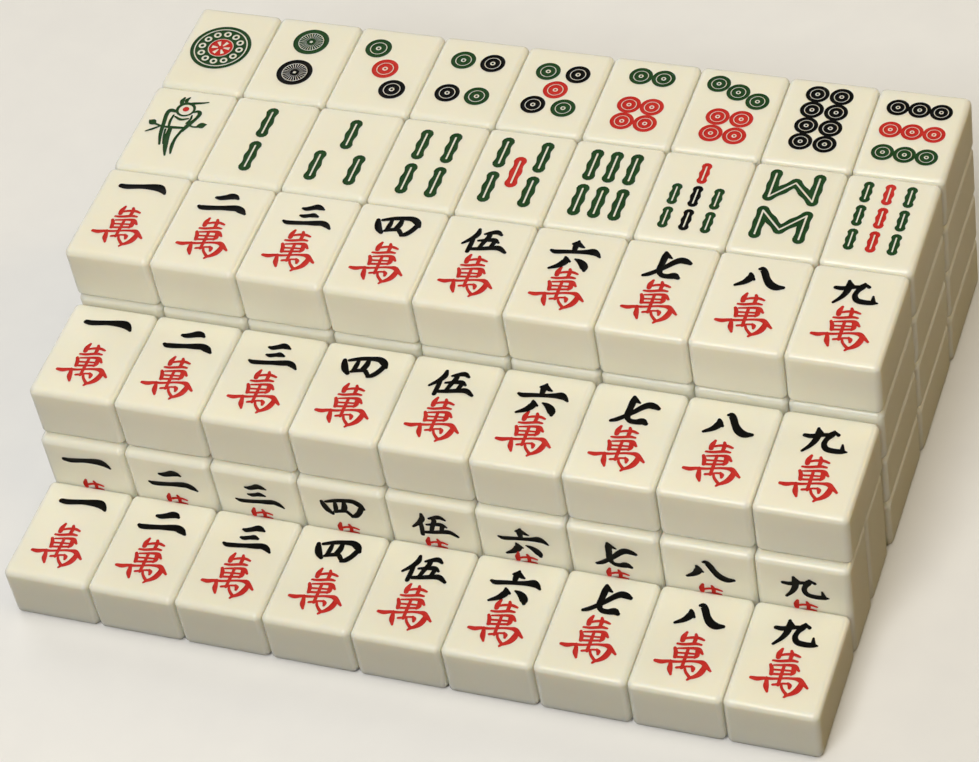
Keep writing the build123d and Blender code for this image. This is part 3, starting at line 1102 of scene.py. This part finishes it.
@dataclass(frozen=True)
class FloorFinish:
    """Pale backing paper. What the camera sees is pale, and the light that it throws is dim and warm."""

    name: str = "pale_paper"
    seen: Colour = (0.86, 0.86, 0.85)
    seen_cloud: Colour = (0.84, 0.84, 0.835)
    thrown: Colour = (0.06, 0.045, 0.025)
    fibres: tuple[float, float] = (60.0, 4.0)
    roughness: float = 0.9

    def material(self) -> bpy.types.Material:
        """Builds the material."""
        graph = SurfaceGraph(self.name)
        pale = graph.mixed(graph.spread(graph.noise(*self.fibres)), self.seen, self.seen_cloud)
        graph.feed("Base Color", graph.mixed(graph.looked_at(), self.thrown, pale))
        graph.feed("Roughness", self.roughness)
        graph.feed("Specular IOR Level", 0.0)
        return graph.material


@dataclass
class Finishes:
    """The four finishes of a tile, in the order of the paints."""

    ivory: IvoryFinish = IvoryFinish()
    black: PaintFinish = PaintFinish("black_enamel", (0.0014, 0.0014, 0.0012), (0.0045, 0.0045, 0.004))
    red: PaintFinish = PaintFinish("red_enamel", (0.52, 0.0245, 0.019), (0.6, 0.046, 0.034))
    green: PaintFinish = PaintFinish("green_enamel", (0.0135, 0.053, 0.0145), (0.024, 0.08, 0.024))
    materials: list[bpy.types.Material] = field(default_factory=list)

    def __post_init__(self) -> None:
        """Builds each material once."""
        self.materials = [finish.material() for finish in (self.ivory, self.black, self.red, self.green)]


@dataclass
class TileGroup:
    """Tiles that stand together in the stack, and what every such group needs to build and dress them."""

    maker: TileMaker
    finishes: Finishes
    tones: random.Random
    # Steepens the roundness that lays the painted highlight and the polish along the edges.
    highlight_and_polish_gain: float = 1.4

    def dress_loose(self, place: str, suit: Suit) -> None:
        """Builds the nine tiles of a kind that lie face up in one row and are picked up one by one.

        Args:
            place: where the row lies, as its nodes' names start.
            suit: the tiles' kind.
        """
        for number in range(1, TILES_IN_ROW + 1):
            node = f"{place}_{suit.name.lower()}_{number}"
            low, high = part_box(node)
            self._dress(node, node, [(suit, number, (low + high) / 2)], Facing.UP)

    def dress_row(self, node: str, body: str, tiles: Sequence[tuple[Suit, int]], facing: Facing) -> None:
        """Builds the row of tiles that a node holds, as one piece.

        Args:
            node: the node that it stands for.
            body: the body that it moves with.
            tiles: each tile's kind and number, from left to right.
            facing: which way their signs look.
        """
        low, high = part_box(node)
        middle = (low + high) / 2
        first_x = low.x + self.maker.width / 2
        pitch = (high.x - low.x - self.maker.width) / (len(tiles) - 1)
        placed = [
            (suit, number, Vector((first_x + index * pitch, middle.y, middle.z)))
            for index, (suit, number) in enumerate(tiles)
        ]
        self._dress(node, body, placed, facing)

    def _dress(
        self, node: str, body: str, placed: Sequence[tuple[Suit, int, Vector]], facing: Facing
    ) -> None:
        """Joins tiles into one piece, gives it its finishes and puts it in the place of its node.

        Args:
            node: the node that it stands for.
            body: the body that it moves with.
            placed: each tile's kind, number and middle.
            facing: which way their signs look.
        """
        rotation = np.array(facing.turn().to_3x3())
        corners, normals, tones, highlight_and_polish_shares, paints = [], [], [], [], []
        faces: list[tuple[int, ...]] = []
        for suit, number, middle in placed:
            tile = self.maker.tile(suit, number)
            start = sum(len(part) for part in corners)
            local = np.array(tile.corners)
            corners.append(local @ rotation.T + np.array(middle))
            normals += [rotation @ normal for face in tile.normals for normal in np.array(face)]
            faces += [tuple(start + i for i in face) for face in tile.faces]
            paints += [paint.value for paint in tile.paints]
            tones += [self.tones.random()] * len(tile.faces)
            highlight_and_polish_shares.append(self._edge_highlight_and_polish(local))
        mesh = bpy.data.meshes.new(f"{node}_tiles")
        mesh.from_pydata(np.concatenate(corners).tolist(), [], faces)
        mesh.polygons.foreach_set("material_index", paints)
        mesh.attributes.new("tile_tone", "FLOAT", "FACE").data.foreach_set("value", tones)
        # Roundness of each corner, which lays the painted highlight and the polish along the edges.
        mesh.attributes.new("edge_wear", "FLOAT", "POINT").data.foreach_set("value", np.concatenate(highlight_and_polish_shares))
        for material in self.finishes.materials:
            mesh.materials.append(material)
        mesh.shade_smooth()
        mesh.normals_split_custom_set(normals)
        piece = put_in_scene(f"{node}_tiles", mesh)
        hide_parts(node)
        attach(piece, body)
        log.info("%s: %d tiles, %d faces, on %s", piece.name, len(placed), len(faces), body)

    def _edge_highlight_and_polish(self, corners: np.ndarray) -> np.ndarray:
        """Returns, for each corner of a tile about the origin, 0 on a flat face up to 1 on a round: where
        the painted highlight and the coat's polish lie.
        """
        maker = self.maker
        core = np.array((maker.width, maker.length, maker.thickness)) / 2 - maker.edge_radius
        beyond = np.clip(np.abs(corners) - core, 0.0, None) / maker.edge_radius
        across = np.sort(beyond, axis=1)
        return np.clip(across[:, 1] * self.highlight_and_polish_gain, 0.0, 1.0)


@dataclass
class LooseRow(TileGroup):
    """Nine character tiles that lie face up: on the table in front, or on the ledge of the standing rows."""

    place: str = "front"

    def build(self) -> None:
        """Builds and dresses the nine tiles."""
        self.dress_loose(self.place, Suit.CHARACTER)


@dataclass
class StandingRows(TileGroup):
    """Two upright rows back to back: characters to the front, flowers and one honour to the back."""

    body: str = "standing_rows"
    flowers: int = 8
    last_honour: int = 28

    def build(self) -> None:
        """Builds and dresses both rows."""
        characters = [(Suit.CHARACTER, number) for number in range(1, TILES_IN_ROW + 1)]
        self.dress_row("standing_character_row", self.body, characters, Facing.FRONT)
        backs = [(Suit.FLOWER, number) for number in range(1, self.flowers + 1)]
        backs.append((Suit.HONOUR, self.last_honour))
        self.dress_row("standing_flower_row", self.body, backs, Facing.BACK)


@dataclass
class BlockColumn(TileGroup):
    """One of the three columns of the block: three joined layers, and nine single tiles on top."""

    layer_suit: Suit = Suit.HONOUR
    top_suit: Suit = Suit.CHARACTER
    layers: int = 3
    base_body: str = "block_base"

    def build(self) -> None:
        """Builds and dresses the column from the table up."""
        suit_name = self.layer_suit.name.lower()
        for layer in range(1, self.layers + 1):
            body = self.base_body if layer == 1 else f"{suit_name}_row_{layer}"
            self.dress_row(f"{suit_name}_layer_{layer}", body, self._layer_tiles(layer), Facing.UP)
        self.dress_loose("top", self.top_suit)

    def _layer_tiles(self, layer: int) -> list[tuple[Suit, int]]:
        """Returns the tiles of a layer: one to nine of a numbered kind, or the next nine of the honours."""
        skipped = (layer - 1) * TILES_IN_ROW if self.layer_suit is Suit.HONOUR else 0
        return [(self.layer_suit, skipped + number) for number in range(1, TILES_IN_ROW + 1)]


def direction(azimuth_degrees: float, elevation_degrees: float) -> Vector:
    """Returns the way out from the middle of the set; the azimuth counts from the front to the right."""
    azimuth, elevation = math.radians(azimuth_degrees), math.radians(elevation_degrees)
    level = math.cos(elevation)
    return Vector((math.sin(azimuth) * level, -math.cos(azimuth) * level, math.sin(elevation)))


def put_in_scene(name: str, data: bpy.types.ID, place: Matrix | None = None) -> bpy.types.Object:
    """Adds an object with this data to the scene, at a place if one is given, and returns it."""
    made = bpy.data.objects.new(name, data)
    if place is not None:
        made.matrix_world = place
    bpy.context.scene.collection.objects.link(made)
    return made


@dataclass(frozen=True)
class Lamp:
    """One large soft square lamp that looks at the middle of the set."""

    name: str
    azimuth_degrees: float
    elevation_degrees: float
    watts: float
    colour: Colour = (1.0, 1.0, 1.0)
    distance: float = 2.9
    size: float = 1.5

    def hang(self) -> None:
        """Hangs the lamp."""
        away = direction(self.azimuth_degrees, self.elevation_degrees)
        light = bpy.data.lights.new(self.name, "AREA")
        light.shape = "SQUARE"
        light.size = self.size
        light.energy = self.watts
        light.color = self.colour
        turned = away.to_track_quat("Z", "Y").to_matrix().to_4x4()
        put_in_scene(self.name, light, Matrix.Translation(away * self.distance) @ turned)


@dataclass(frozen=True)
class Studio:
    """The camera, the lights and the pale floor."""

    aim: Colour = (-0.0031, 0.0019, 0.0276)
    azimuth_degrees: float = 26.695
    elevation_degrees: float = 46.514
    roll_degrees: float = 11.386
    distance: float = 1.06
    lens_mm: float = 118.72
    sensor_mm: float = 36.0
    floor_radius: float = 14.0
    floor_sides: int = 96
    ambient: Colour = (0.08, 0.076, 0.066)
    warm_ambient: Colour = (0.045, 0.028, 0.006)
    horizon: Colour = (0.82, 0.82, 0.82)
    # Between which heights of a look upwards the horizon fades in, and where the warm side starts and ends.
    horizon_fade: tuple[float, float] = (0.35, 0.1)
    warm_side: tuple[float, float] = (-0.1, 0.5)
    lamps: tuple[Lamp, ...] = (
        Lamp("key", -3.0, 53.0, 53.5, colour=(1.0, 0.985, 0.95)),
        Lamp("overhead", 0.0, 88.0, 17.0, colour=(1.0, 0.99, 0.97)),
        Lamp("back_left", -135.0, 35.0, 16.0, colour=(1.0, 0.98, 0.93)),
        Lamp("warm_right", 85.0, 55.0, 7.5, colour=(1.0, 0.77, 0.38)),
        Lamp("warm_back", 128.0, 26.0, 11.5, colour=(1.0, 0.78, 0.4), size=0.7),
    )

    def set_up(self) -> None:
        """Puts up everything in the studio."""
        self.place_camera()
        self.lay_floor()
        for lamp in self.lamps:
            lamp.hang()
        self.fill_world()
        bpy.context.scene.view_settings.view_transform = "Standard"
        log.info("studio: camera at %.2f m, lens %.1f mm", self.distance, self.lens_mm)

    def place_camera(self) -> None:
        """Stands the camera at the photograph's viewing angle and tilts it by the photograph's roll."""
        back = direction(self.azimuth_degrees, self.elevation_degrees)
        camera = bpy.data.cameras.new("camera")
        camera.sensor_width = self.sensor_mm
        camera.lens = self.lens_mm
        level = (-back).to_track_quat("-Z", "Y").to_matrix().to_4x4()
        roll = Matrix.Rotation(math.radians(-self.roll_degrees), 4, "Z")
        place = Matrix.Translation(Vector(self.aim) + back * self.distance) @ level @ roll
        bpy.context.scene.camera = put_in_scene("camera", camera, place)

    def lay_floor(self) -> None:
        """Lays a wide round floor under the tiles."""
        circle = bmesh.new()
        bmesh.ops.create_circle(circle, cap_ends=True, segments=self.floor_sides, radius=self.floor_radius)
        mesh = bpy.data.meshes.new("floor")
        circle.to_mesh(mesh)
        circle.free()
        mesh.materials.append(FloorFinish().material())
        floor = put_in_scene("floor", mesh)

    def fill_world(self) -> None:
        """Fills the room with even light, and lets what is seen of it pale towards the horizon."""
        world = bpy.data.worlds.new("room")
        world.use_nodes = True
        graph = Graph(world.node_tree)
        parts = graph.node("ShaderNodeSeparateXYZ")
        graph.link(graph.coordinates.outputs["Generated"], parts.inputs["Vector"])
        low_sky = graph.spread(parts.outputs["Z"], start=self.horizon_fade[0], end=self.horizon_fade[1])
        warm_side = graph.spread(parts.outputs["X"], start=self.warm_side[0], end=self.warm_side[1])
        room = graph.mixed(warm_side, self.ambient, self.warm_ambient)
        near_horizon = graph.paired("MULTIPLY", graph.looked_at(), low_sky)
        seen = graph.mixed(near_horizon, room, self.horizon)
        graph.link(seen, world.node_tree.nodes["Background"].inputs["Color"])
        bpy.context.scene.world = world


def main() -> None:
    """Builds the studio and every group of tiles."""
    Studio().set_up()
    low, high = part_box("front_character_1")
    size = high - low
    maker = TileMaker(width=size.x, length=size.y, thickness=size.z - BEDDING_GAP)
    finishes = Finishes()
    tones = random.Random(TONE_SEED)
    groups: list[LooseRow | StandingRows | BlockColumn] = [
        LooseRow(maker, finishes, tones, place="front"),
        StandingRows(maker, finishes, tones),
        LooseRow(maker, finishes, tones, place="ledge"),
        BlockColumn(maker, finishes, tones, layer_suit=Suit.HONOUR, top_suit=Suit.CHARACTER),
        BlockColumn(maker, finishes, tones, layer_suit=Suit.BAMBOO, top_suit=Suit.BAMBOO),
        BlockColumn(maker, finishes, tones, layer_suit=Suit.DOT, top_suit=Suit.DOT),
    ]
    for group in groups:
        log.info("building %s", type(group).__name__)
        group.build()


if __name__ == "__main__":
    main()
